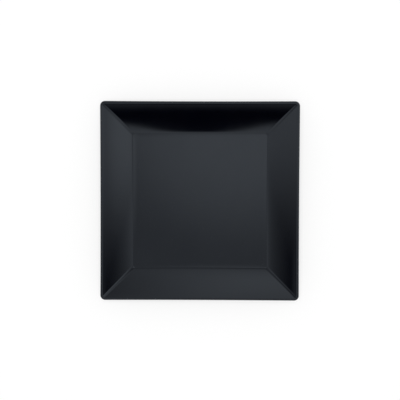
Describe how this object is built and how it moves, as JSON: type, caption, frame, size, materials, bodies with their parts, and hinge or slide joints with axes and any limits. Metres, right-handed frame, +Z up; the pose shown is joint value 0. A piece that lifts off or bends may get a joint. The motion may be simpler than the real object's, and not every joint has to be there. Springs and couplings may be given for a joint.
{
  "type": "square plate",
  "caption": "Square black-glazed stoneware plate with a flat well, sloping walls meeting in corner creases, a rounded lip and a bare foot ring, for serving fruit or dessert.",
  "frame": {"origin": "middle of the plate on the plane of the foot ring's standing face", "axes": "+Z up through the middle of the well, +X and +Y square to the sides of the plate"},
  "size_m": [0.2, 0.2, 0.024],
  "materials": {
    "bare_stoneware": "fired and unglazed, with a ground standing face",
    "black_glaze": "satin black glaze"
  },
  "bodies": {
    "root": {"stoneware_body": "bare_stoneware", "main_glaze": "black_glaze", "recess_glaze": "black_glaze"}
  },
  "joints": []
}
